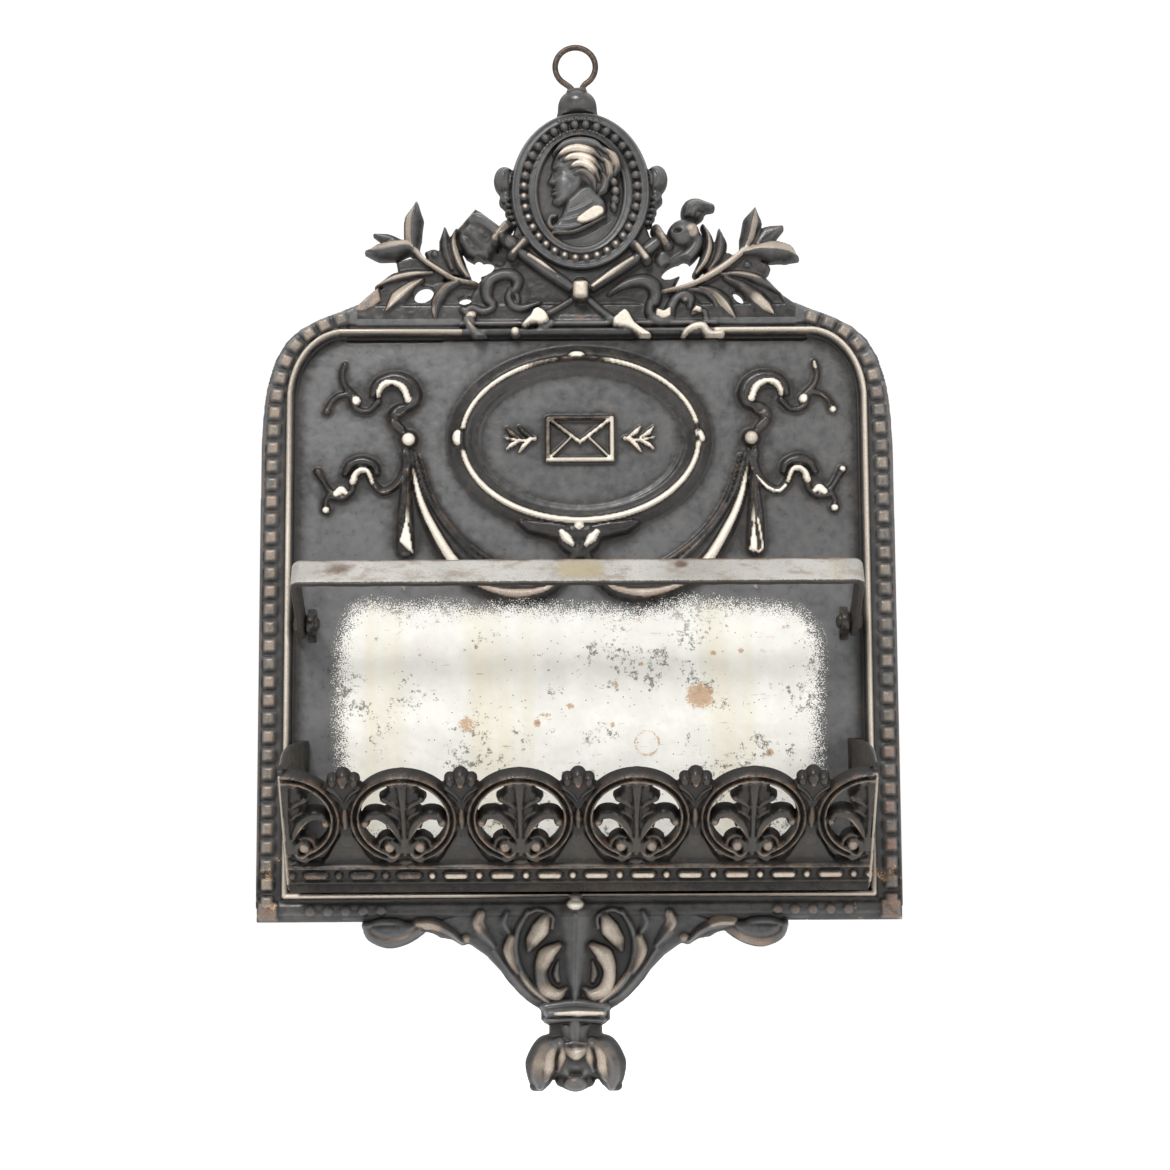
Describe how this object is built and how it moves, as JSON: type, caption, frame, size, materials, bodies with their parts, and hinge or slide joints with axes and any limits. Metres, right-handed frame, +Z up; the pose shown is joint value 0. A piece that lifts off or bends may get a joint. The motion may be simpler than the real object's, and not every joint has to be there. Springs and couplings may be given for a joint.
{
  "type": "wall letter holder",
  "caption": "Cast-iron wall letter holder: arched relief panel, outward-leaning openwork tray front, pivoting strip bar that keeps letters back, and a wire hanging eye.",
  "frame": {"origin": "in the wall face (back of the panel), on the panel's centreline, 104.4 mm above the panel's lower edge", "axes": "+Z up, +Y into the wall (normal of the wall face), -Y towards the reader, +X to the right seen from the front"},
  "size_m": [0.199, 0.0585, 0.3307],
  "materials": {
    "black_japan": "black japanned cast iron, worn to pale metal on the high relief",
    "bare_strip": "bare iron strip, dull, brown stains",
    "dark_rivet": "dark iron, partly blacked",
    "dark_wire": "blackened iron wire with a little rust",
    "screw_steel": "aged steel"
  },
  "bodies": {
    "holder": {"back_plate": "black_japan", "gallery": "black_japan", "bar_rivet_left": "dark_rivet", "bar_rivet_right": "dark_rivet", "hanging_eye": "dark_wire", "gallery_screw_upper_left": "screw_steel", "gallery_screw_upper_right": "screw_steel", "gallery_screw_lower_left": "screw_steel", "gallery_screw_lower_right": "screw_steel"},
    "bar": {"retaining_bar": "bare_strip"}
  },
  "joints": [
    {"name": "bar_pivot", "type": "hinge", "parent": "holder", "child": "bar", "pos_m": [0, -0.008, -0.0128], "axis": [1, 0, 0], "range_deg": [-42, 118]}
  ]
}
